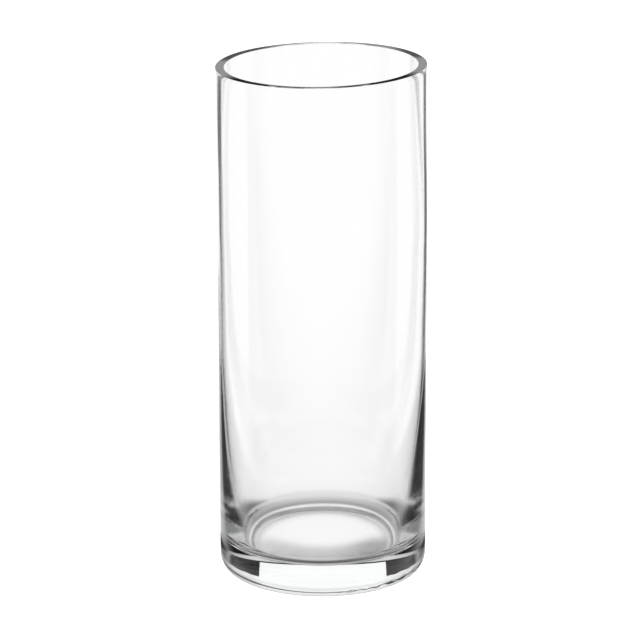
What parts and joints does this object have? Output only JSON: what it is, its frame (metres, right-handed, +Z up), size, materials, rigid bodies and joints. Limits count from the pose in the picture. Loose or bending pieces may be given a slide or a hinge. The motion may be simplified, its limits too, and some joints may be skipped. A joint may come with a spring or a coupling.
{
  "type": "glass cylinder vase",
  "caption": "Tall straight-sided cylinder vase in clear glass, with a flat ground rim, a thin side wall and a heavy base. Holds water and cut stems.",
  "frame": {"origin": "centre of the circle the vase stands on, at the bottom centre of its bounding box", "axes": "+Z up along the vase's axis, from the base to the open mouth; +X and +Y are any two directions across, since the vase is round"},
  "size_m": [0.1, 0.1, 0.25],
  "materials": {
    "clear_glass": "smooth polished clear glass, faint grey-green tint, ground flat rim"
  },
  "bodies": {
    "root": {"vase_body": "clear_glass"}
  },
  "joints": []
}
